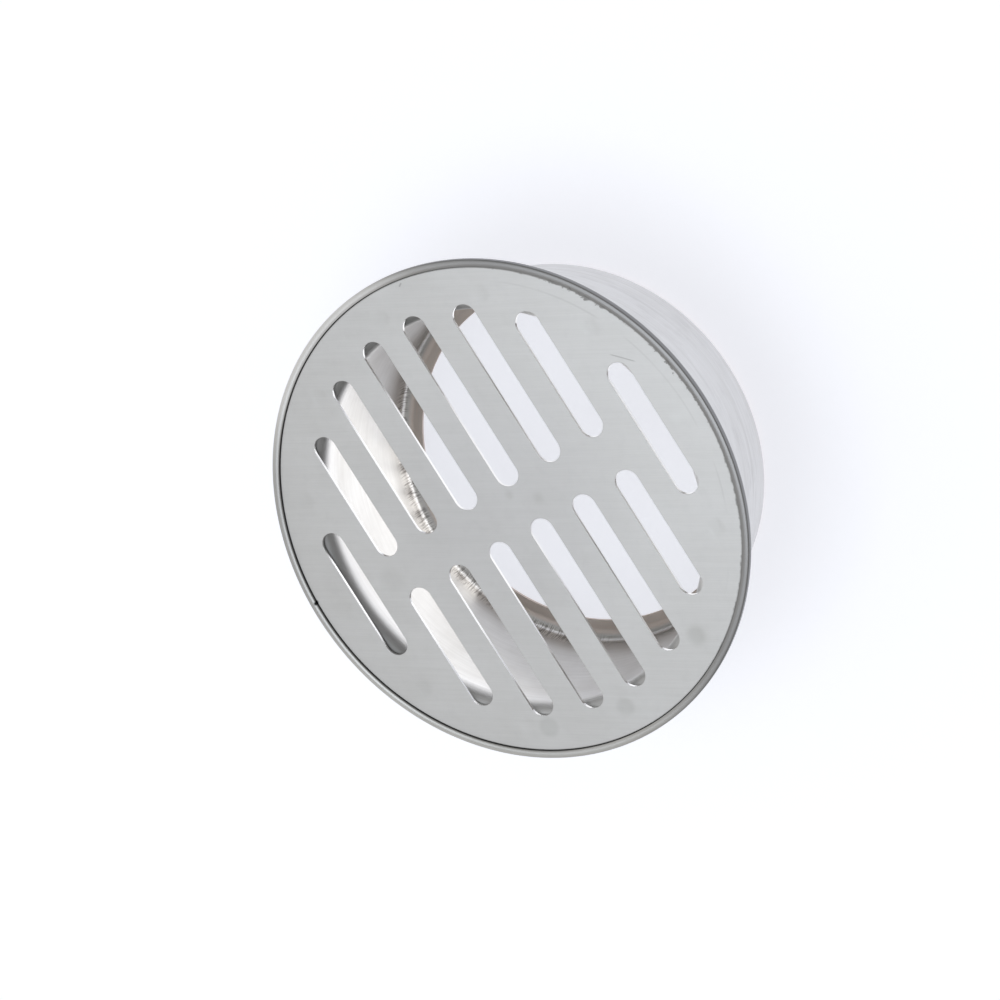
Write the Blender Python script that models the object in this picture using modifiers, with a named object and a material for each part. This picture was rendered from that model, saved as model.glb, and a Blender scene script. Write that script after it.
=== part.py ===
"""Round floor drain grate: a rimmed tray, a collar that hangs through it, and a slotted plate.

The three pressings are spot-welded together in one stack: plate, collar flange, tray floor.
Units are metres and +Z is up. The origin is the centre of the underside of the outlet lip,
on which the grate stands. The slots run along X, and their rows are spaced along Y.
"""

import math

import bmesh
import bpy

# ---------------------------------------------------------------- driving dimensions
RIM_RADIUS = 0.0640          # outside of the hemmed rim
COLLAR_RADIUS = 0.0510       # outside of the collar, a loose fit in a 103.6 mm pipe bore
OUTLET_RADIUS = 0.0450       # open outlet inside the bottom lip
PLATE_TOP = 0.0452           # top face of the cover plate above the underside of the lip
SHEET = 0.0008               # all three pressings are cut from the same gauge of sheet
SEAM = 0.0003                # gap between faces that touch
EDGE_GAP = 0.0004            # visible gap between the plate's edge and the rim
RIM_PROUD = 0.0007           # height of the rim above the plate

SLOT_ROWS = 8
SLOT_PITCH = 0.01372         # from one row to the next
SLOT_WIDTH = 0.0064
BRIDGE_WIDTH = 0.0099        # solid band that parts the two slots of an inner row
SLOT_END_RADIUS = 0.0497     # circle through the centres of the inner rows' outer slot ends
END_SLOT_LENGTH = 0.0355     # the single slot of the first and the last row

COLLAR_FLANGE_RADIUS = 0.0588
SHOULDER_RADIUS = 0.0025     # upper face of the bend from the collar flange to its wall
FOOT_RADIUS = 0.0030         # inner face of the bend from the wall to the lip
TRAY_HOLE_CLEARANCE = 0.0022 # between the collar's wall and the hole it hangs through
TRAY_CORNER_RADIUS = 0.0028  # outside of the bend from the tray's floor to its rim
HEM_END_ANGLE = 15           # where the folded edge of the rim ends on that bend, in degrees

WELD_COUNT = 12
WELD_CIRCLE_RADIUS = 0.0555
NUGGET_RADIUS = 0.0022
POCKET_DEPTH = 0.0004        # how far a nugget's pocket reaches into the plate and the tray

# ---------------------------------------------------------------- worked out from them
RIM_WIDTH = 2 * SHEET
RIM_INNER_RADIUS = RIM_RADIUS - RIM_WIDTH
PLATE_RADIUS = RIM_INNER_RADIUS - EDGE_GAP
PLATE_BOTTOM = PLATE_TOP - SHEET
FLANGE_TOP = PLATE_BOTTOM - SEAM
FLANGE_BOTTOM = FLANGE_TOP - SHEET
FLOOR_TOP = FLANGE_BOTTOM - SEAM
FLOOR_BOTTOM = FLOOR_TOP - SHEET
TRAY_HOLE_RADIUS = COLLAR_RADIUS + TRAY_HOLE_CLEARANCE
COLLAR_INNER_RADIUS = COLLAR_RADIUS - SHEET
SLOT_RADIUS = SLOT_WIDTH / 2
NUGGET_MIDDLE = (PLATE_BOTTOM + FLOOR_TOP) / 2
POCKET_THICKNESS = PLATE_BOTTOM - FLOOR_TOP + 2 * POCKET_DEPTH
NUGGET_THICKNESS = POCKET_THICKNESS - 2 * SEAM

ROUND_STEPS = 80             # facets round the turned pressings and the plate
SLOT_END_STEPS = 10          # facets in each half-round slot end
NUGGET_STEPS = 20
MERGE_DISTANCE = 0.00001

OBJECT_NAME = "floor_drain_grate"


# ---------------------------------------------------------------- scene and helpers
def clear_scene():
    for thing in list(bpy.data.objects):
        bpy.data.objects.remove(thing, do_unlink=True)


def new_collection(name):
    collection = bpy.data.collections.new(name)
    bpy.context.scene.collection.children.link(collection)
    return collection


def steel(name, color, roughness):
    material = bpy.data.materials.new(name)
    material.use_nodes = True
    shader = material.node_tree.nodes["Principled BSDF"]
    shader.inputs["Base Color"].default_value = (*color, 1.0)
    shader.inputs["Metallic"].default_value = 1.0
    shader.inputs["Roughness"].default_value = roughness
    material.diffuse_color = (*color, 1.0)
    return material


def add_part(name, mesh, material, collection):
    part = bpy.data.objects.new(name, mesh)
    collection.objects.link(part)
    if not mesh.materials:
        mesh.materials.append(material)
    return part


def shade_round(mesh):
    mesh.shade_smooth()
    mesh.set_sharp_from_angle(angle=math.radians(35))


def arc(center_x, center_y, radius, start_deg, end_deg, steps):
    """Points on an arc, both ends included."""
    points = []
    for step in range(steps + 1):
        angle = math.radians(start_deg + (end_deg - start_deg) * step / steps)
        points.append((center_x + radius * math.cos(angle), center_y + radius * math.sin(angle)))
    return points


def cut(part, cutter):
    boolean = part.modifiers.new("pockets", "BOOLEAN")
    boolean.operation = "DIFFERENCE"
    boolean.solver = "EXACT"
    boolean.object = cutter


# ---------------------------------------------------------------- cover plate
def slot_ends(row):
    """Centres along X of the half-round ends, one pair for each slot of a row, and the row's Y."""
    y = (row - (SLOT_ROWS - 1) / 2) * SLOT_PITCH
    if row in (0, SLOT_ROWS - 1):
        end = END_SLOT_LENGTH / 2 - SLOT_RADIUS
        return [(-end, end)], y
    outer = math.sqrt(SLOT_END_RADIUS**2 - y**2)
    inner = BRIDGE_WIDTH / 2 + SLOT_RADIUS
    return [(-outer, -inner), (inner, outer)], y


def slot_outline(x_low, x_high, y):
    right_end = arc(x_high, y, SLOT_RADIUS, -90, 90, SLOT_END_STEPS)
    left_end = arc(x_low, y, SLOT_RADIUS, 90, 270, SLOT_END_STEPS)
    return right_end + left_end


def add_outline(curve, points):
    spline = curve.splines.new("POLY")
    spline.points.add(len(points) - 1)
    for spline_point, (x, y) in zip(spline.points, points):
        spline_point.co = (x, y, 0, 1)
    spline.use_cyclic_u = True


def make_cover_plate(material, parts, pockets):
    curve = bpy.data.curves.new("cover_plate_outline", "CURVE")
    curve.dimensions = "2D"
    curve.fill_mode = "BOTH"
    curve.extrude = SHEET / 2
    add_outline(curve, arc(0, 0, PLATE_RADIUS, 0, 360, ROUND_STEPS)[:-1])
    for row in range(SLOT_ROWS):
        slots, y = slot_ends(row)
        for x_low, x_high in slots:
            add_outline(curve, slot_outline(x_low, x_high, y))
    outline = bpy.data.objects.new("cover_plate_outline", curve)
    parts.objects.link(outline)
    outline.location.z = PLATE_TOP - SHEET / 2
    bpy.context.view_layer.update()

    evaluated = outline.evaluated_get(bpy.context.evaluated_depsgraph_get())
    mesh = bpy.data.meshes.new_from_object(evaluated)
    mesh.name = "cover_plate"
    plate_mesh = bmesh.new()
    plate_mesh.from_mesh(mesh)
    bmesh.ops.remove_doubles(plate_mesh, verts=plate_mesh.verts, dist=MERGE_DISTANCE)
    plate_mesh.to_mesh(mesh)
    plate_mesh.free()
    shade_round(mesh)

    plate = add_part("cover_plate", mesh, material, parts)
    plate.matrix_world = outline.matrix_world
    bpy.data.objects.remove(outline, do_unlink=True)
    cut(plate, pockets)
    return plate


# ---------------------------------------------------------------- turned pressings
def make_turned_pressing(name, section, material, parts, pockets):
    """Turns a closed section, given from the top down its outer side and back up inside."""
    profile = bmesh.new()
    corners = [profile.verts.new((x, 0, z)) for x, z in section]
    for corner, following in zip(corners, corners[1:] + corners[:1]):
        profile.edges.new((corner, following))
    mesh = bpy.data.meshes.new(name)
    profile.to_mesh(mesh)
    profile.free()

    pressing = add_part(name, mesh, material, parts)
    screw = pressing.modifiers.new("turned", "SCREW")
    screw.axis = "Z"
    screw.angle = math.radians(360)
    screw.steps = ROUND_STEPS
    screw.render_steps = ROUND_STEPS
    screw.use_merge_vertices = True
    screw.merge_threshold = MERGE_DISTANCE
    screw.use_smooth_shade = True
    cut(pressing, pockets)
    return pressing


def rim_tray_section():
    """A flat floor with a hole, a rounded corner, and a rim folded double at its top."""
    rim_middle = RIM_RADIUS - RIM_WIDTH / 2
    rim_round_height = PLATE_TOP + RIM_PROUD - RIM_WIDTH / 2
    corner_radius = RIM_RADIUS - TRAY_CORNER_RADIUS
    corner_height = FLOOR_BOTTOM + TRAY_CORNER_RADIUS
    inner_bend = TRAY_CORNER_RADIUS - SHEET

    points = arc(rim_middle, rim_round_height, RIM_WIDTH / 2, 180, 0, 6)
    points += arc(corner_radius, corner_height, TRAY_CORNER_RADIUS, 0, -90, 6)
    points += [(TRAY_HOLE_RADIUS, FLOOR_BOTTOM), (TRAY_HOLE_RADIUS, FLOOR_TOP)]
    points += arc(corner_radius, corner_height, inner_bend, -90, -HEM_END_ANGLE, 4)
    points += [(RIM_INNER_RADIUS, points[-1][1])]
    return points


def collar_section():
    """A flange, a rounded shoulder, a straight wall, and a rounded foot that ends in a flat lip."""
    shoulder_radius = COLLAR_INNER_RADIUS + SHOULDER_RADIUS
    shoulder_height = FLANGE_TOP - SHOULDER_RADIUS
    foot_radius = COLLAR_INNER_RADIUS - FOOT_RADIUS
    foot_height = SHEET + FOOT_RADIUS

    points = [(COLLAR_FLANGE_RADIUS, FLANGE_TOP), (COLLAR_FLANGE_RADIUS, FLANGE_BOTTOM)]
    points += arc(shoulder_radius, shoulder_height, SHOULDER_RADIUS - SHEET, 90, 180, 3)
    points += arc(foot_radius, foot_height, FOOT_RADIUS + SHEET, 0, -90, 5)
    points += [(OUTLET_RADIUS, 0.0), (OUTLET_RADIUS, SHEET)]
    points += arc(foot_radius, foot_height, FOOT_RADIUS, -90, 0, 5)
    points += arc(shoulder_radius, shoulder_height, SHOULDER_RADIUS, 180, 90, 4)
    return points


# ---------------------------------------------------------------- spot welds
def weld_places():
    for weld in range(WELD_COUNT):
        angle = math.radians(360 / WELD_COUNT * weld)
        yield WELD_CIRCLE_RADIUS * math.cos(angle), WELD_CIRCLE_RADIUS * math.sin(angle)


def disc_mesh(name, radius, thickness):
    disc = bmesh.new()
    bmesh.ops.create_cone(disc, cap_ends=True, segments=NUGGET_STEPS,
                          radius1=radius, radius2=radius, depth=thickness)
    mesh = bpy.data.meshes.new(name)
    disc.to_mesh(mesh)
    disc.free()
    return mesh


def make_weld_pockets(cutters):
    """One cutter of separate discs: the space round every nugget, in all three sheets."""
    pockets = bmesh.new()
    for x, y in weld_places():
        disc = bmesh.ops.create_cone(pockets, cap_ends=True, segments=NUGGET_STEPS,
                                     radius1=NUGGET_RADIUS + SEAM, radius2=NUGGET_RADIUS + SEAM,
                                     depth=POCKET_THICKNESS)
        bmesh.ops.translate(pockets, verts=disc["verts"], vec=(x, y, NUGGET_MIDDLE))
    mesh = bpy.data.meshes.new("weld_pockets")
    pockets.to_mesh(mesh)
    pockets.free()
    cutter = bpy.data.objects.new("weld_pockets", mesh)
    cutters.objects.link(cutter)
    cutter.hide_render = True
    cutter.display_type = "WIRE"
    return cutter


def make_weld_nuggets(material, parts):
    mesh = disc_mesh("weld_nugget", NUGGET_RADIUS, NUGGET_THICKNESS)
    shade_round(mesh)
    for number, (x, y) in enumerate(weld_places(), start=1):
        nugget = add_part(f"weld_nugget_{number:02d}", mesh, material, parts)
        nugget.location = (x, y, NUGGET_MIDDLE)


# ---------------------------------------------------------------- assembly
def main():
    clear_scene()
    parts = new_collection(OBJECT_NAME)
    cutters = new_collection("cutters")
    plate_steel = steel("satin_plate_steel", (0.66, 0.67, 0.66), 0.38)
    tray_steel = steel("tray_steel", (0.62, 0.62, 0.60), 0.34)
    collar_steel = steel("collar_steel", (0.63, 0.61, 0.58), 0.28)
    weld_steel = steel("weld_steel", (0.40, 0.38, 0.36), 0.55)

    pockets = make_weld_pockets(cutters)
    make_cover_plate(plate_steel, parts, pockets)
    make_turned_pressing("rim_tray", rim_tray_section(), tray_steel, parts, pockets)
    make_turned_pressing("collar", collar_section(), collar_steel, parts, pockets)
    make_weld_nuggets(weld_steel, parts)


main()
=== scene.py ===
"""The looks of the round floor drain grate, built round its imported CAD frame.

A satin cover plate with slots, a tray with a folded rim, and a collar with a rounded foot,
spot-welded in one stack. Units are metres, +Z is up, and the slots run along X. The near side
is -Y. Materials work in millimetres.
"""

import math

import bmesh
import bpy
from mathutils import Matrix, Vector, geometry, noise


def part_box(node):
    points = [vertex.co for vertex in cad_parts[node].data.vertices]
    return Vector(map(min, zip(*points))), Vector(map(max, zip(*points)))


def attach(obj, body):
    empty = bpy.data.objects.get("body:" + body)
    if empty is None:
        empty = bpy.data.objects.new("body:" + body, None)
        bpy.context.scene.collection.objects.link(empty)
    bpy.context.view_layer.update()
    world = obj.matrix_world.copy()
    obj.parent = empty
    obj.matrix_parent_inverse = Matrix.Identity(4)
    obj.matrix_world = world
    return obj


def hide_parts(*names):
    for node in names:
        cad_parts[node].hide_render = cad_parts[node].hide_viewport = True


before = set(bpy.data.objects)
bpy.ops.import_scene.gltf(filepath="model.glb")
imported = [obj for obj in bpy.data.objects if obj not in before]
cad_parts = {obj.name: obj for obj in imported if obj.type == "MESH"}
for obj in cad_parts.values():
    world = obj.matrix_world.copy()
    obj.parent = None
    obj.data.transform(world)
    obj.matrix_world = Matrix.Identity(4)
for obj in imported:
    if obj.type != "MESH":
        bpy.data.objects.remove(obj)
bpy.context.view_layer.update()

# ---------------------------------------------------------------- sizes
MM = 0.001
PLATE_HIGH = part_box("cover_plate")[1]
TRAY_LOW, TRAY_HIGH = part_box("rim_tray")
COLLAR_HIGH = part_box("collar")[1]

SHEET = 0.8 * MM
PLATE_TOP = PLATE_HIGH[2]
PLATE_RADIUS = PLATE_HIGH[0]
PLATE_SHIFT = -0.07 * MM
RIM_RADIUS = TRAY_HIGH[0]
RIM_TOP = TRAY_HIGH[2]
TRAY_FLOOR = TRAY_LOW[2]
FLANGE_TOP = COLLAR_HIGH[2]
FLANGE_RADIUS = COLLAR_HIGH[0]

EDGE_ROLL = 0.10 * MM
LOWER_BEVEL = 0.05 * MM
WAVE_DEPTH = 0.012 * MM
WAVE_REACH = 0.3 * MM
PRINT_RADIUS = 2.3 * MM
PRINT_DEPTH = 0.022 * MM

RIM_WIDTH = 1.85 * MM
RIM_DOME = 0.36 * MM
TRAY_CORNER = 2.8 * MM
TRAY_HOLE = 53.2 * MM
TRAY_PRINT_RADIUS = 2.4 * MM
TRAY_PRINT_DEPTH = 0.09 * MM

COLLAR_RADIUS = 51.0 * MM
COLLAR_TOP_RADIUS = 51.7 * MM
OUTLET_RADIUS = 45.0 * MM
SHOULDER = 2.5 * MM
FOOT = 3.0 * MM
MOUTH_OVAL = 0.45 * MM
WALL_WAVE = 0.06 * MM
RIB_DEPTH = 0.018 * MM

SLOT_ROWS = 8
SLOT_PITCH = 13.72 * MM
SLOT_WIDTH = 6.4 * MM
BRIDGE_WIDTH = 9.9 * MM
SLOT_END_CIRCLE = 49.7 * MM
END_SLOT_LENGTH = 35.5 * MM

WELD_COUNT = 12
WELD_CIRCLE = 55.5 * MM

ROUND_STEPS = 288
FINE_STEPS = 960
SLOT_END_STEPS = 24
SLOT_SIDE_STEPS = 24
GRID = 1.25 * MM
GRID_ROW_SHARE = 0.866
GRID_REACH = 50
GRID_MARGIN = 0.7 * MM
SHARP_DEG = 30
PLATE_SHARP_DEG = 9

# ---------------------------------------------------------------- marks on the steel
# Places, radii and widths are in millimetres.
BRUSH_DEG = 64.0
EMPTY_PRINT = (-48.1, 27.75)
STRAY_PRINT = (-51.2, 22.2)
PLATE_CHIP = (4.4, 61.9)
RIM_CHIP = (4.2, 62.1)
# Each has a middle, a radius and half the width of its soft edge. A smudge has a share as well.
GRIME_PLACES = (((8.6, -61.4), 7.0, 5.0), ((36.0, -50.5), 7.0, 6.0))
SMUDGES = (((-0.6, 38.4), 3.2, 1.8, 1.0), ((-0.7, -11.0), 1.3, 1.0, 1.0),
           ((3.4, -4.4), 1.0, 0.8, 1.0), ((-48.1, -28.5), 2.6, 1.6, 0.8))
# Each has two ends and half a width.
SCRATCHES = (((20.3, -48.6), (15.2, -54.1), 0.24), ((59.7, -9.6), (60.3, -10.8), 0.35))

GRIME_COLOR = (0.20, 0.195, 0.19)
CHIP_COLOR = (0.02, 0.02, 0.02)


# ---------------------------------------------------------------- shapes
def arc(center_x, center_y, radius, start_deg, end_deg, steps):
    """Points on an arc, both ends included."""
    points = []
    for step in range(steps + 1):
        angle = math.radians(start_deg + (end_deg - start_deg) * step / steps)
        points.append((center_x + radius * math.cos(angle), center_y + radius * math.sin(angle)))
    return points


def between(start, end, steps):
    """The points that part a straight line, without its ends."""
    return [(start[0] + (end[0] - start[0]) * k / steps, start[1] + (end[1] - start[1]) * k / steps)
            for k in range(1, steps)]


def clamp(value):
    return min(1, max(0, value))


def add_object(name, mesh, body="root"):
    piece = bpy.data.objects.new(name, mesh)
    bpy.context.scene.collection.objects.link(piece)
    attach(piece, body)
    return piece


def join_loops(sheet, first, second):
    """A band of four-sided faces between two closed loops with the same number of points."""
    for k in range(len(first)):
        j = (k + 1) % len(first)
        sheet.faces.new((first[k], first[j], second[j], second[k]))


def slot_spans(row):
    """Low and high X of the end centres of each slot in a row, and the row's Y."""
    y = (row - (SLOT_ROWS - 1) / 2) * SLOT_PITCH
    if row in (0, SLOT_ROWS - 1):
        end = (END_SLOT_LENGTH - SLOT_WIDTH) / 2
        return [(-end, end)], y
    outer = math.sqrt(SLOT_END_CIRCLE**2 - y**2)
    inner = (BRIDGE_WIDTH + SLOT_WIDTH) / 2
    return [(-outer, -inner), (inner, outer)], y


def weld_centers():
    for weld in range(WELD_COUNT):
        angle = 2 * math.pi * weld / WELD_COUNT
        yield WELD_CIRCLE * math.cos(angle), WELD_CIRCLE * math.sin(angle)


def shade(mesh):
    """Level faces keep their own normal; bends are smooth."""
    mesh.shade_smooth()
    for face in mesh.polygons:
        if abs(face.normal.z) > 0.99999:
            face.use_smooth = False
    mesh.set_sharp_from_angle(angle=math.radians(SHARP_DEG))


# ---------------------------------------------------------------- cover plate
def plate_outlines(inset):
    """The plate's edge and its slots, drawn into the metal by inset."""
    outlines = [arc(0, 0, PLATE_RADIUS - inset, 0, 360, ROUND_STEPS)[:-1]]
    for row in range(SLOT_ROWS):
        spans, y = slot_spans(row)
        for low, high in spans:
            radius = SLOT_WIDTH / 2 + inset
            outlines.append(arc(high, y, radius, -90, 90, SLOT_END_STEPS)
                            + between((high, y + radius), (low, y + radius), SLOT_SIDE_STEPS)
                            + arc(low, y, radius, 90, 270, SLOT_END_STEPS)
                            + between((low, y - radius), (high, y - radius), SLOT_SIDE_STEPS))
    return outlines


def on_metal(x, y, margin):
    """Whether a point is on the plate's face, at least margin from its edge and its slots."""
    if math.hypot(x, y) > PLATE_RADIUS - margin:
        return False
    for row in range(SLOT_ROWS):
        spans, slot_y = slot_spans(row)
        for low, high in spans:
            off_x = max(low - x, 0, x - high)
            if math.hypot(off_x, y - slot_y) < SLOT_WIDTH / 2 + margin:
                return False
    return True


def plate_height(x, y, rise):
    """How far the face lies off level, times rise: slight waves, and a shallow print at each weld."""
    wave = noise.noise(Vector((x * 38, y * 38, 1.3))) + 0.4 * noise.noise(Vector((x * 110, y * 110, 5.1)))
    height = WAVE_DEPTH * (wave - 1.4)
    for weld_x, weld_y in weld_centers():
        away = math.hypot(x - weld_x, y - weld_y) / PRINT_RADIUS
        if away < 1:
            height -= PRINT_DEPTH * min(1, (1 - away) * 2.5)
    return rise * height


def lay_normals(mesh):
    """The plate's face takes the slope of its height, whatever triangles it was cut into."""
    step = 0.2 * MM
    slopes = {}
    normals = [tuple(corner.vector) for corner in mesh.corner_normals]
    for face in mesh.polygons:
        if face.normal.z < 0.998:
            continue
        for loop, k in zip(face.loop_indices, face.vertices):
            if k not in slopes:
                x, y = mesh.vertices[k].co.x, mesh.vertices[k].co.y - PLATE_SHIFT
                here = plate_height(x, y, 1)
                slopes[k] = Vector((here - plate_height(x + step, y, 1),
                                    here - plate_height(x, y + step, 1), step)).normalized()
            normals[loop] = tuple(slopes[k])
    mesh.normals_split_custom_set(normals)


def plate_triangles(outlines, margin):
    """The face's points and triangles, and which point each outline point became."""
    points = [Vector(p) for loop in outlines for p in loop]
    edges = []
    start = 0
    for loop in outlines:
        edges += [(start + k, start + (k + 1) % len(loop)) for k in range(len(loop))]
        start += len(loop)
    for j in range(-GRID_REACH, GRID_REACH + 1):
        for i in range(-GRID_REACH, GRID_REACH + 1):
            x, y = (i + 0.5 * (j % 2)) * GRID, j * GRID * GRID_ROW_SHARE
            if on_metal(x, y, GRID_MARGIN):
                points.append(Vector((x, y)))
    flat, _, faces, origins, _, _ = geometry.delaunay_2d_cdt(points, edges, [], 0, 0.001 * MM)
    kept = []
    for face in faces:
        middle = sum((flat[k] for k in face), Vector((0, 0))) / len(face)
        if on_metal(middle.x, middle.y, margin):
            kept.append(face)
    place = {}
    for new, olds in enumerate(origins):
        for old in olds:
            place[old] = new
    return flat, kept, place


def make_plate():
    """A meshed top and bottom, joined round every outline by a rolled edge, a side and a small bevel."""
    bottom = PLATE_TOP - SHEET
    levels = []
    for quarter in range(1, 5):
        turned = math.pi / 2 * quarter / 4
        levels.append((EDGE_ROLL * (1 - math.sin(turned)), PLATE_TOP - EDGE_ROLL * (1 - math.cos(turned))))
    levels += [(0.0, bottom + LOWER_BEVEL), (LOWER_BEVEL, bottom)]
    rings = [plate_outlines(inset) for inset, _ in levels]

    outlines = plate_outlines(EDGE_ROLL)
    flat, kept, place = plate_triangles(outlines, EDGE_ROLL)
    sheet = bmesh.new()
    top = [sheet.verts.new((p.x, p.y, PLATE_TOP + plate_height(p.x, p.y, 1))) for p in flat]
    low = [sheet.verts.new((p.x, p.y, bottom)) for p in flat]
    for a, b, c in kept:
        sheet.faces.new((top[a], top[b], top[c]))
        sheet.faces.new((low[c], low[b], low[a]))

    first = 0
    for index, loop in enumerate(outlines):
        upper = [top[place[first + k]] for k in range(len(loop))]
        lower = [low[place[first + k]] for k in range(len(loop))]
        first += len(loop)
        for (_, z), ring in zip(levels, rings):
            fall = max(0, 1 - (PLATE_TOP - z) / WAVE_REACH)
            below = [sheet.verts.new((x, y, z + plate_height(x, y, fall))) for x, y in ring[index]]
            join_loops(sheet, upper, below)
            upper = below
        join_loops(sheet, upper, lower)
    loose = [v for v in sheet.verts if not v.link_faces]
    bmesh.ops.delete(sheet, geom=loose, context="VERTS")
    bmesh.ops.recalc_face_normals(sheet, faces=sheet.faces)
    bmesh.ops.translate(sheet, verts=sheet.verts, vec=(0, PLATE_SHIFT, 0))
    mesh = bpy.data.meshes.new("plate_sheet")
    sheet.to_mesh(mesh)
    sheet.free()
    mesh.shade_smooth()
    mesh.set_sharp_from_angle(angle=math.radians(PLATE_SHARP_DEG))
    lay_normals(mesh)
    return add_object("plate_sheet", mesh)


# ---------------------------------------------------------------- turned pressings
def turn(name, section, steps, shift):
    """Turns a closed section of (radius, height) points; shift may move each point a little."""
    turned = bmesh.new()
    rings = []
    for step in range(steps):
        angle = 2 * math.pi * step / steps
        ring = []
        for r, z in section:
            point = Vector((r * math.cos(angle), r * math.sin(angle), z))
            ring.append(turned.verts.new(shift(point, angle, r, z)))
        rings.append(ring)
    for step in range(steps):
        join_loops(turned, rings[step], rings[(step + 1) % steps])
    bmesh.ops.recalc_face_normals(turned, faces=turned.faces)
    mesh = bpy.data.meshes.new(name)
    turned.to_mesh(mesh)
    turned.free()
    shade(mesh)
    return add_object(name, mesh)


def round_corner(points, corner, radius, steps=3):
    """Rounds one corner of a section in place."""
    index = points.index(corner)
    before, middle, after = (Vector(points[(index + k) % len(points)]) for k in (-1, 0, 1))
    start = middle + (before - middle).normalized() * radius
    end = middle + (after - middle).normalized() * radius
    bend = []
    for step in range(steps + 1):
        t = step / steps
        bend.append(tuple(start * (1 - t)**2 + middle * 2 * t * (1 - t) + end * t**2))
    points[index:index + 1] = bend


def tray_section():
    """Floor with a hole, a rounded corner, and a rim folded double, open hairline at the fold's end."""
    rim_middle = RIM_RADIUS - RIM_WIDTH / 2
    corner_r = RIM_RADIUS - TRAY_CORNER
    corner_z = TRAY_FLOOR + TRAY_CORNER
    floor_top = TRAY_FLOOR + SHEET
    dome = arc(0, 0, 1, 180, 0, 28)
    hole = [(TRAY_HOLE, TRAY_FLOOR), (TRAY_HOLE, floor_top)]
    points = [(rim_middle + RIM_WIDTH / 2 * x, RIM_TOP - RIM_DOME * (1 - y)) for x, y in dome]
    points += arc(corner_r, corner_z, TRAY_CORNER, 0, -90, 18)
    points += between((corner_r, TRAY_FLOOR), hole[0], 22)
    points += hole
    points += arc(corner_r, corner_z, TRAY_CORNER - SHEET, -90, -15, 10)
    points += [(RIM_RADIUS - RIM_WIDTH, points[-1][1])]
    for corner in reversed(hole):
        round_corner(points, corner, 0.1 * MM)
    return points


def dent_tray(point, angle, r, z):
    """Electrode prints under the tray's floor, at the spot welds."""
    if z < TRAY_FLOOR + 0.01 * MM and r < 59 * MM:
        for x, y in weld_centers():
            away = math.hypot(point.x - x, point.y - y) / TRAY_PRINT_RADIUS
            if away < 1:
                point.z += TRAY_PRINT_DEPTH * min(1, (1 - away) * 2.2)
    return point


def collar_section():
    """Flange, rounded shoulder, slightly flared wall, rounded foot and flat lip."""
    inner = COLLAR_RADIUS - SHEET
    top_inner = COLLAR_TOP_RADIUS - SHEET
    shoulder_r = top_inner + SHOULDER
    shoulder_z = FLANGE_TOP - SHOULDER
    foot_r = inner - FOOT
    foot_z = SHEET + FOOT
    edge = [(FLANGE_RADIUS, FLANGE_TOP), (FLANGE_RADIUS, FLANGE_TOP - SHEET)]
    lip = [(OUTLET_RADIUS, 0.0), (OUTLET_RADIUS, SHEET)]
    points = list(edge)
    points += arc(shoulder_r, shoulder_z, SHOULDER - SHEET, 90, 180, 12)
    points += between((COLLAR_TOP_RADIUS, shoulder_z), (COLLAR_RADIUS, foot_z), 24)
    points += arc(foot_r, foot_z, FOOT + SHEET, 0, -90, 16)
    points += lip
    points += arc(foot_r, foot_z, FOOT, -90, 0, 20)
    points += between((inner, foot_z), (top_inner, shoulder_z), 24)
    points += arc(shoulder_r, shoulder_z, SHOULDER, 180, 90, 16)
    for corner in reversed(edge + lip):
        round_corner(points, corner, 0.12 * MM)
    return points


def draw_marks(point, angle, r, z):
    """The mouth is wider on the near side, the wall a little uneven, and the foot's bend finely ribbed."""
    out = Vector((math.cos(angle), math.sin(angle), 0))
    if r < COLLAR_TOP_RADIUS + SHOULDER:
        near_top = clamp((-out.y - 0.70) / 0.20) * clamp((z - 28 * MM) / (13 * MM))
        point += out * (MOUTH_OVAL * near_top)
    if z > 41 * MM or r > COLLAR_TOP_RADIUS + 0.01 * MM:
        return point
    high = clamp((z - 4 * MM) / (6 * MM)) * clamp((39 * MM - z) / (5 * MM))
    wave = noise.noise(Vector((out.x * 2.1, out.y * 2.1, z * 45)))
    point -= out * (WALL_WAVE * high * (0.5 + wave))
    foot = math.exp(-((z - 3.6 * MM) / (1.9 * MM))**2) * (r < COLLAR_RADIUS - 0.15 * MM)
    rib = noise.noise(Vector((out.x * 85, out.y * 85, 3.7)))
    strength = min(1.0, max(0.05, 0.45 + 1.4 * (out.y * 0.8 + out.x * 0.3 - 0.45)))
    point -= out * (RIB_DEPTH * foot * (0.5 + rib) * strength)
    return point


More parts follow.
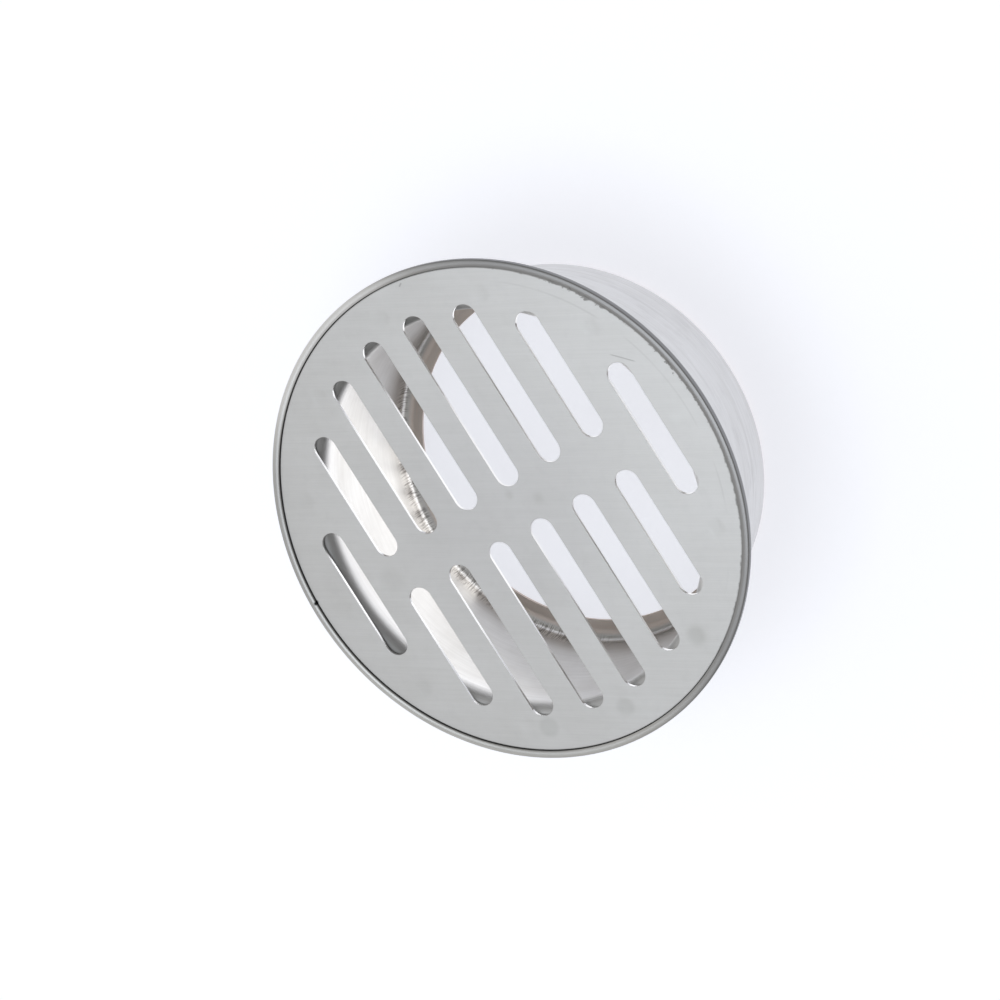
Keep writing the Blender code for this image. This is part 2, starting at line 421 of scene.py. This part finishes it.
# ---------------------------------------------------------------- materials
class Graph:
    """Adds nodes to one material; inputs are values or other nodes' sockets."""

    def __init__(self, name):
        self.material = bpy.data.materials.new(name)
        self.material.use_nodes = True
        self.tree = self.material.node_tree
        self.shader = self.tree.nodes["Principled BSDF"]

    def node(self, kind, inputs=(), **settings):
        made = self.tree.nodes.new("ShaderNode" + kind)
        for key, value in settings.items():
            setattr(made, key, value)
        for key, value in dict(inputs).items():
            self.link(value, made.inputs[key])
        return made

    def link(self, value, socket):
        if isinstance(value, bpy.types.NodeSocket):
            self.tree.links.new(value, socket)
        else:
            socket.default_value = value

    def math(self, operation, a, b=0.0):
        return self.node("Math", {0: a, 1: b}, operation=operation).outputs[0]

    def chain(self, operation, values):
        """One operation over two or more values, from the left."""
        result = values[0]
        for value in values[1:]:
            result = self.math(operation, result, value)
        return result

    def times(self, *values):
        return self.chain("MULTIPLY", values)

    def plus(self, *values):
        return self.chain("ADD", values)

    def minus(self, a, b):
        return self.math("SUBTRACT", a, b)

    def largest(self, *values):
        return self.chain("MAXIMUM", values)

    def length(self, a, b):
        return self.math("SQRT", self.plus(self.times(a, a), self.times(b, b)))

    def ramp(self, value, low, high, to_low=0.0, to_high=1.0):
        """Smooth step from to_low to to_high as value goes from low to high."""
        inputs = {"Value": value, "From Min": low, "From Max": high,
                  "To Min": to_low, "To Max": to_high}
        return self.node("MapRange", inputs, interpolation_type="SMOOTHSTEP").outputs[0]

    def fade(self, value, low, high):
        """Smooth step from 1 to 0 as value goes from low to high."""
        return self.ramp(value, low, high, 1.0, 0.0)

    def mix(self, factor, a, b):
        made = self.node("Mix", data_type="RGBA")
        self.link(factor, made.inputs[0])
        self.link(a, made.inputs[6])
        self.link(b, made.inputs[7])
        return made.outputs[2]

    def tones(self, factor, low, high):
        """The ground colour, which drifts between two tones."""
        return self.mix(factor, (*low, 1), (*high, 1))

    def over(self, color, layers):
        """Lays tones over a colour; each has an amount that varies, a share and a tone."""
        for amount, share, tone in layers:
            color = self.mix(self.times(amount, share), color, (*tone, 1))
        return color

    def noise(self, vector, scale=1.0, detail=2.0, rough=0.5):
        inputs = {"Vector": vector, "Scale": scale, "Detail": detail, "Roughness": rough}
        return self.node("TexNoise", inputs).outputs[0]

    def mm(self):
        """Place on the object in millimetres, and its X, Y and Z."""
        place = self.node("TexCoord").outputs["Object"]
        scaled = self.node("VectorMath", {0: place, "Scale": 1000.0}, operation="SCALE").outputs[0]
        parts = self.node("SeparateXYZ", {0: scaled})
        return scaled, parts.outputs[0], parts.outputs[1], parts.outputs[2]

    def polar(self, x, y):
        return self.length(x, y), self.math("ARCTAN2", y, x)

    def stretched(self, vector, turn_deg, lengths):
        """Coordinates turned about Z and drawn out, one unit for each of the lengths."""
        inputs = {"Vector": vector, "Rotation": (0, 0, math.radians(turn_deg)), "Scale": lengths}
        return self.node("Mapping", inputs, vector_type="TEXTURE").outputs[0]

    def around(self, r, angle, z, turn_scale, r_scale, z_scale):
        """Coordinates that close on themselves round the axis, with no seam."""
        across = self.plus(self.times(r, r_scale), self.times(z, z_scale))
        cosine = self.times(self.math("COSINE", angle), turn_scale)
        sine = self.times(self.math("SINE", angle), turn_scale)
        return self.node("CombineXYZ", {0: cosine, 1: sine, 2: across}).outputs[0]

    def spot(self, x, y, middle, radius, soft):
        """1 inside a round patch, falling to 0 at its soft edge."""
        away = self.length(self.minus(x, middle[0]), self.minus(y, middle[1]))
        return self.fade(away, radius - soft, radius + soft)

    def grime_places(self, x, y):
        """1 where grime has gathered, falling to 0 round about."""
        return self.largest(*[self.spot(x, y, *place) for place in GRIME_PLACES])

    def stroke(self, x, y, start, end, half_width):
        """1 along a thin straight line from start to end, fading at its sides and its ends."""
        run = Vector(end) - Vector(start)
        length = run.length
        run.normalize()
        dx = self.minus(x, start[0])
        dy = self.minus(y, start[1])
        along = self.plus(self.times(dx, run.x), self.times(dy, run.y))
        across = self.minus(self.times(dx, run.y), self.times(dy, run.x))
        line = self.fade(self.math("ABSOLUTE", across), 0.0, half_width)
        span = self.times(self.ramp(along, 0.0, length * 0.2), self.fade(along, length * 0.8, length))
        return self.times(line, span)

    def upright(self):
        """1 on faces that stand upright, 0 on level ones."""
        normal = self.node("NewGeometry").outputs["True Normal"]
        tilt = self.math("ABSOLUTE", self.node("SeparateXYZ", {0: normal}).outputs[2])
        return self.fade(tilt, 0.15, 0.6)

    def weld_patch(self, r, angle, radius, soft):
        """Patches at the spot welds, from the angle folded into one twelfth of a turn."""
        step = 2 * math.pi / WELD_COUNT
        nearest = self.times(self.math("ROUND", self.math("DIVIDE", angle, step)), step)
        off = self.minus(angle, nearest)
        x = self.times(r, self.math("COSINE", off))
        y = self.times(r, self.math("SINE", off))
        return self.spot(x, y, (WELD_CIRCLE / MM, 0.0), radius, soft)

    def finish(self, color, roughness, height, distance, strength):
        """A bare metal with its colour, its roughness and a bumped surface."""
        self.link(color, self.shader.inputs["Base Color"])
        self.link(roughness, self.shader.inputs["Roughness"])
        self.shader.inputs["Metallic"].default_value = 1.0
        made = self.node("Bump", {"Height": height, "Distance": distance, "Strength": strength})
        self.link(made.outputs[0], self.shader.inputs["Normal"])
        return self.material


def plate_material():
    """Brushed satin sheet with weld prints, smudges, scratches and grime at the near edge; painted shade
    in the middle and on the underside.
    """
    g = Graph("plate_satin_steel")
    place, x, y, z = g.mm()
    r, angle = g.polar(x, y)
    fine = g.noise(g.stretched(place, BRUSH_DEG, (12.0, 0.22, 0.5)), 1.0, 3.0, 0.65)
    wide = g.noise(g.stretched(place, BRUSH_DEG, (34.0, 1.3, 1.0)), 1.0, 2.0, 0.5)
    cloud = g.noise(place, 0.055, 3.0, 0.55)
    mottle = g.noise(place, 0.35, 3.0, 0.6)
    edge = PLATE_RADIUS / MM
    bottom = (PLATE_TOP - SHEET) / MM

    weld = g.times(g.weld_patch(r, angle, 2.3, 0.9), g.ramp(x, -48.0, -20.0, 1.0, 0.2))
    weld = g.times(weld, g.minus(1.0, g.spot(x, y, EMPTY_PRINT, 4.0, 0.5)))
    weld = g.largest(weld, g.spot(x, y, STRAY_PRINT, 2.6, 0.8))
    smudge = g.largest(*[g.times(g.spot(x, y, middle, radius, soft), share)
                         for middle, radius, soft, share in SMUDGES])
    scratch = g.largest(*[g.stroke(x, y, *ends_and_width) for ends_and_width in SCRATCHES])
    # The edge of the flange below shows through as a faint line.
    witness = g.times(g.fade(g.math("ABSOLUTE", g.minus(r, FLANGE_RADIUS / MM)), 0.1, 0.35),
                      g.ramp(g.noise(place, 0.06, 1.0, 0.5), 0.45, 0.62),
                      g.ramp(y, -45.0, -25.0, 1.0, 0.05))
    crust = g.ramp(g.noise(place, 0.42, 4.0, 0.75), 0.46, 0.66)
    side = g.plus(g.times(g.grime_places(x, y), 0.7), g.ramp(y, -20.0, -50.0, 0.0, 0.3))
    grime = g.ramp(g.minus(r, g.minus(edge - 0.4, g.times(crust, side))), 0.0, 0.5)
    chip = g.spot(x, y, PLATE_CHIP, 0.42, 0.25)
    # Painted shade: the face is darker towards its middle.
    middle_shade = g.ramp(r, 12.0, 46.0, 0.16, 0.0)
    cut = g.upright()
    # Painted shade on the underside.
    under = g.fade(z, bottom + 0.02, bottom + 0.10)

    color = g.tones(g.ramp(cloud, 0.3, 0.7), (0.664, 0.666, 0.668), (0.694, 0.698, 0.703))
    color = g.over(color, (
        (g.ramp(fine, 0.3, 0.7), 0.20, (0.82, 0.83, 0.83)),
        (g.ramp(wide, 0.35, 0.7), 0.12, (0.58, 0.59, 0.58)),
        (g.ramp(mottle, 0.45, 0.8), 0.16, (0.56, 0.565, 0.57)),
        (weld, 0.30, (0.48, 0.49, 0.48)),
        (smudge, 0.20, (0.50, 0.50, 0.48)),
        (scratch, 0.75, (0.40, 0.40, 0.40)),
        (witness, 0.20, (0.42, 0.42, 0.42)),
        (grime, 0.60, GRIME_COLOR),
        (chip, 1.0, CHIP_COLOR),
        (middle_shade, 1.0, (0.47, 0.47, 0.50)),
        (cut, 1.0, (0.90, 0.90, 0.89)),
        (under, 0.15, (0.40, 0.40, 0.40))))
    rough = g.plus(0.30, g.times(fine, 0.14), g.times(cloud, 0.08), g.times(smudge, 0.08),
                   g.times(g.largest(grime, under), 0.25))
    rough = g.minus(rough, g.times(cut, 0.18))
    height = g.plus(fine, g.times(wide, 0.8), g.times(mottle, 0.5))
    return g.finish(color, rough, height, 0.006 * MM, 0.5)


def rim_material():
    """Turned rim with grime in the joint and heat tint below at the welds; painted shade on its near side,
    inner slope, near outer side, in the gap by the plate and at one place on the far side, and painted
    light on its +X side.
    """
    g = Graph("rim_turned_steel")
    place, x, y, z = g.mm()
    r, angle = g.polar(x, y)
    lines = g.noise(g.around(r, angle, z, 3.0, 5.0, 3.0), 1.0, 3.0, 0.6)
    cloud = g.noise(place, 0.09, 3.0, 0.6)
    grit = g.noise(place, 0.42, 4.0, 0.75)
    rim_outer = RIM_RADIUS / MM
    rim_inner = (RIM_RADIUS - RIM_WIDTH) / MM

    # Painted shade on the near side of the rim; the same mask lets the grime reach further there.
    near = g.ramp(y, 10.0, -35.0)
    # Painted shade on the rim's inner slope, stronger on the far side.
    inner = g.times(g.fade(r, 62.9, 63.4), g.ramp(y, 0.0, 40.0, 0.4, 1.0))
    # Painted light on the +X side.
    lit = g.times(g.ramp(x, 32.0, 55.0), g.ramp(y, -18.0, 8.0))
    # Painted shade at one place on the far side.
    shaded = g.times(g.ramp(x, -18.0, 12.0), g.ramp(y, 35.0, 55.0))
    # Painted shade on the outer side of the rim, on the near side.
    flank_shade = g.times(g.ramp(r, rim_outer - 0.4, rim_outer - 0.05), near)
    low = g.fade(z, 42.0, 42.6)
    halo = g.times(g.weld_patch(r, angle, 3.8, 1.2), low)
    weld = g.times(g.weld_patch(r, angle, 2.6, 0.5), low)
    # Painted shade in the gap between the rim and the plate.
    crevice_shade = g.times(g.fade(r, rim_inner, rim_inner + 0.07), g.ramp(z, 44.0, 44.6, 1.0, 0.5))
    patch = g.plus(g.times(g.grime_places(x, y), 0.65), g.times(near, 0.3))
    reach = g.plus(rim_inner - 0.05, g.times(g.ramp(grit, 0.46, 0.66), g.plus(0.08, patch)))
    grime = g.ramp(g.minus(reach, r), 0.0, 0.3)
    chip = g.spot(x, y, RIM_CHIP, 0.45, 0.25)

    color = g.tones(g.ramp(cloud, 0.3, 0.7), (0.66, 0.66, 0.645), (0.72, 0.72, 0.71))
    color = g.over(color, (
        (g.ramp(lines, 0.3, 0.7), 0.25, (0.42, 0.42, 0.41)),
        (inner, 0.35, (0.36, 0.36, 0.35)),
        (near, 0.85, (0.30, 0.30, 0.305)),
        (lit, 0.70, (0.92, 0.92, 0.92)),
        (shaded, 0.50, (0.38, 0.38, 0.38)),
        (flank_shade, 0.75, (0.18, 0.18, 0.18)),
        (halo, 0.50, (0.46, 0.36, 0.24)),
        (weld, 0.60, (0.26, 0.27, 0.30)),
        (crevice_shade, 0.80, (0.08, 0.075, 0.07)),
        (grime, 0.50, GRIME_COLOR),
        (chip, 1.0, CHIP_COLOR)))
    rough = g.plus(0.30, g.times(lines, 0.14), g.times(g.largest(crevice_shade, halo), 0.2))
    height = g.plus(lines, g.times(grit, 0.5))
    return g.finish(color, rough, height, 0.006 * MM, 0.6)


def collar_material():
    """Drawn steel: lines round the wall, a ribbed foot and a stained lip; painted highlights on the foot's
    far side and on the near shoulder, painted shade on the rest of the shoulder and in a band by the foot,
    and a painted lighter outside.
    """
    g = Graph("collar_drawn_steel")
    place, x, y, z = g.mm()
    r, angle = g.polar(x, y)
    lines = g.noise(g.around(r, angle, z, 4.0, 4.0, 4.0), 1.0, 4.0, 0.65)
    broad = g.noise(g.around(r, angle, z, 1.3, 0.8, 0.8), 1.0, 2.0, 0.5)
    ribs = g.noise(g.around(r, angle, z, 170.0, 0.2, 0.2), 1.0, 2.0, 0.6)
    cloud = g.noise(place, 0.07, 3.0, 0.6)

    foot_r = (COLLAR_RADIUS - SHEET - FOOT) / MM
    foot_z = (SHEET + FOOT) / MM
    # The distance from the bend's centre tells its outside from its inside.
    from_bend = g.length(g.minus(r, foot_r), g.math("MINIMUM", g.minus(z, foot_z), 0.0))
    outer_foot = g.times(g.ramp(from_bend, FOOT / MM + 0.3, FOOT / MM + 0.5),
                         g.fade(z, foot_z, foot_z + 0.4), g.ramp(r, foot_r - 0.7, foot_r))
    inside = g.times(g.fade(r, 50.7, 50.95), g.minus(1.0, outer_foot))
    outside = g.minus(1.0, inside)
    foot = g.times(g.ramp(z, 1.0, 2.0), g.fade(z, 4.5, 7.0))
    # Painted highlight on the inside of the foot's bend, mostly on the far side; the ribs laid over it are
    # real.
    foot_highlight_and_ribs = g.times(foot, g.ramp(y, 15.0, 35.0, 0.08, 1.0), inside)
    # Painted shade in a band low on the inside wall, on the near side and middle.
    band = g.times(g.ramp(z, 1.4, 2.6), g.fade(z, 2.8, 4.6), g.fade(y, 5.0, 35.0), inside)
    lip = g.fade(z, 0.9, 1.5)
    scuff = g.ramp(g.noise(g.around(r, angle, z, 5.0, 1.0, 0.25), 1.0, 4.0, 0.7), 0.48, 0.70)
    # Painted shade on the shoulder under the plate, none on the near side.
    crevice_shade = g.times(g.ramp(y, -40.0, -10.0), g.ramp(x, -50.0, -15.0, 0.2, 0.65), g.ramp(z, 40.4, 43.9))
    # Painted highlight on the shoulder at the near side.
    shoulder_highlight = g.times(g.ramp(z, 40.5, 41.5), g.fade(y, -42.0, -30.0))

    color = g.tones(g.ramp(cloud, 0.3, 0.7), (0.62, 0.61, 0.59), (0.70, 0.695, 0.68))
    color = g.over(color, (
        # Painted light: the outside of the wall is made lighter.
        (outside, 0.75, (0.86, 0.865, 0.87)),
        (g.ramp(lines, 0.3, 0.7), 0.22, (0.48, 0.465, 0.44)),
        (g.times(scuff, outside), 0.16, (0.45, 0.45, 0.45)),
        (g.ramp(broad, 0.4, 0.75), 0.20, (0.50, 0.49, 0.47)),
        (band, 0.35, (0.34, 0.32, 0.30)),
        (lip, 0.70, (0.66, 0.545, 0.475)),
        (g.times(lip, g.ramp(lines, 0.45, 0.6)), 0.35, (0.62, 0.60, 0.57)),
        (foot_highlight_and_ribs, 0.85, (0.93, 0.92, 0.90)),
        (g.times(foot_highlight_and_ribs, g.ramp(ribs, 0.49, 0.58)), 0.60, (0.16, 0.15, 0.14)),
        (crevice_shade, 1.0, (0.10, 0.10, 0.10)),
        (shoulder_highlight, 1.0, (0.96, 0.96, 0.97))))
    rough = g.plus(0.22, g.times(lines, 0.14), g.times(cloud, 0.08), g.times(lip, 0.12),
                   g.ramp(z, 39.0, 41.8, 0.0, 0.28))
    height = g.plus(lines, g.times(broad, 0.6), g.times(ribs, foot_highlight_and_ribs, 2.0))
    return g.finish(color, rough, height, 0.010 * MM, 0.7)


def weld_material():
    """Grainy, heat-tinted weld metal."""
    g = Graph("weld_heat_tinted_steel")
    grain = g.noise(g.mm()[0], 2.2, 4.0, 0.7)
    color = g.tones(g.ramp(grain, 0.35, 0.65), (0.24, 0.23, 0.22), (0.42, 0.37, 0.31))
    rough = g.plus(0.45, g.times(grain, 0.25))
    return g.finish(color, rough, grain, 0.02 * MM, 0.6)


def floor_material():
    """A pale matt floor that glows a little by itself."""
    g = Graph("studio_floor")
    g.shader.inputs["Base Color"].default_value = (0.66, 0.67, 0.69, 1)
    g.shader.inputs["Roughness"].default_value = 0.9
    g.shader.inputs["Specular IOR Level"].default_value = 0.0
    g.shader.inputs["Emission Color"].default_value = (0.735, 0.745, 0.80, 1)
    g.shader.inputs["Emission Strength"].default_value = 0.77
    return g.material


# ---------------------------------------------------------------- pieces
plate = make_plate()
plate.data.materials.append(plate_material())
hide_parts("cover_plate")

tray = turn("tray_pressing", tray_section(), FINE_STEPS, dent_tray)
tray.data.materials.append(rim_material())
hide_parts("rim_tray")

collar = turn("collar_drawing", collar_section(), FINE_STEPS, draw_marks)
collar.data.materials.append(collar_material())
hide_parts("collar")

weld_finish = weld_material()
for name, cad_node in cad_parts.items():
    if name.startswith("weld_nugget"):
        for material_slot in cad_node.material_slots:
            material_slot.material = weld_finish


# ---------------------------------------------------------------- studio
LAMP_HEIGHT = 1.0 * MM
FOOTLIGHT_COUNT = 8
FOOTLIGHT_CIRCLE = 45.6 * MM
FOOTLIGHT_START_DEG = 56.5
FOOTLIGHT_STEP_DEG = 7.2


def make_floor():
    """A wide level floor, just clear of the grate."""
    sheet = bmesh.new()
    bmesh.ops.create_grid(sheet, x_segments=1, y_segments=1, size=3.0)
    mesh = bpy.data.meshes.new("floor")
    sheet.to_mesh(mesh)
    sheet.free()
    floor = bpy.data.objects.new("floor", mesh)
    floor.location.z = -0.02 * MM
    bpy.context.scene.collection.objects.link(floor)
    mesh.materials.append(floor_material())


def make_world():
    """An even pale studio, a little lighter low down on the far side."""
    world = bpy.data.worlds.new("studio")
    world.use_nodes = True
    nodes, links = world.node_tree.nodes, world.node_tree.links
    background = nodes["Background"]
    background.inputs["Color"].default_value = (0.90, 0.888, 0.870, 1)
    toward = nodes.new("ShaderNodeVectorMath")
    toward.operation = "DOT_PRODUCT"
    toward.inputs[1].default_value = (0.30, 0.95, 0.0)
    links.new(nodes.new("ShaderNodeTexCoord").outputs["Generated"], toward.inputs[0])
    lift = nodes.new("ShaderNodeMapRange")
    lift.interpolation_type = "SMOOTHSTEP"
    for name, value in {"From Min": 0.42, "From Max": 0.72, "To Min": 0.53, "To Max": 0.74}.items():
        lift.inputs[name].default_value = value
    links.new(toward.outputs["Value"], lift.inputs["Value"])
    links.new(lift.outputs[0], background.inputs["Strength"])
    bpy.context.scene.world = world


def make_camera():
    """Looks down at the grate from its -Y side, with the picture turned well past upright."""
    azimuth = math.radians(6.11)
    elevation = math.radians(56.49)
    roll = math.radians(232.54)
    distance = 0.7454
    aside, above = -0.81 * MM, 3.5 * MM
    back = Vector((math.sin(azimuth) * math.cos(elevation),
                   -math.cos(azimuth) * math.cos(elevation), math.sin(elevation)))
    level_right = Vector((math.cos(azimuth), math.sin(azimuth), 0))
    level_up = back.cross(level_right)
    right = level_right * math.cos(roll) + level_up * math.sin(roll)
    up = level_up * math.cos(roll) - level_right * math.sin(roll)
    data = bpy.data.cameras.new("camera")
    data.sensor_width = 36.0
    data.lens = 110.97
    camera = bpy.data.objects.new("camera", data)
    turned = Matrix((right, up, back)).transposed().to_4x4()
    location = Vector((0, 0, PLATE_TOP)) + back * distance + right * aside + up * above
    camera.matrix_world = Matrix.Translation(location) @ turned
    bpy.context.scene.collection.objects.link(camera)
    bpy.context.scene.camera = camera


def add_lamp(name, location, aim, size, power, color, shape="RECTANGLE"):
    light = bpy.data.lights.new(name, "AREA")
    light.shape = shape
    light.size, light.size_y = size
    light.energy = power
    light.color = color
    lamp = bpy.data.objects.new(name, light)
    lamp.location = location
    lamp.rotation_euler = (Vector(aim) - Vector(location)).to_track_quat("-Z", "Y").to_euler()
    bpy.context.scene.collection.objects.link(lamp)
    return lamp


def add_lamps():
    """A large softbox overhead, and hidden lamps for the light that enters the collar's open end."""
    add_lamp("overhead", (-0.06, 0.06, 1.4), (0, 0, 0.04), (1.0, 1.0), 4.4, (0.885, 0.94, 1.0))
    below = [("underfill", (4.0 * MM, -8.0 * MM), (68 * MM, 68 * MM), 0.0051),
             ("underlight", (4.5 * MM, 32.0 * MM), (34 * MM, 23 * MM), 0.0016)]
    for index in range(FOOTLIGHT_COUNT):
        angle = math.radians(FOOTLIGHT_START_DEG + FOOTLIGHT_STEP_DEG * index)
        middle = (FOOTLIGHT_CIRCLE * math.cos(angle), FOOTLIGHT_CIRCLE * math.sin(angle))
        below.append((f"footlight_{index + 1}", middle, (5.5 * MM, 5.5 * MM), 0.000060))
    for name, middle, size, power in below:
        lamp = add_lamp(name, (*middle, LAMP_HEIGHT), (*middle, 1), size, power,
                        (1.0, 0.985, 0.96), "ELLIPSE")
        lamp.visible_camera = False


make_floor()
make_world()
make_camera()
add_lamps()
bpy.context.scene.view_settings.view_transform = "Standard"
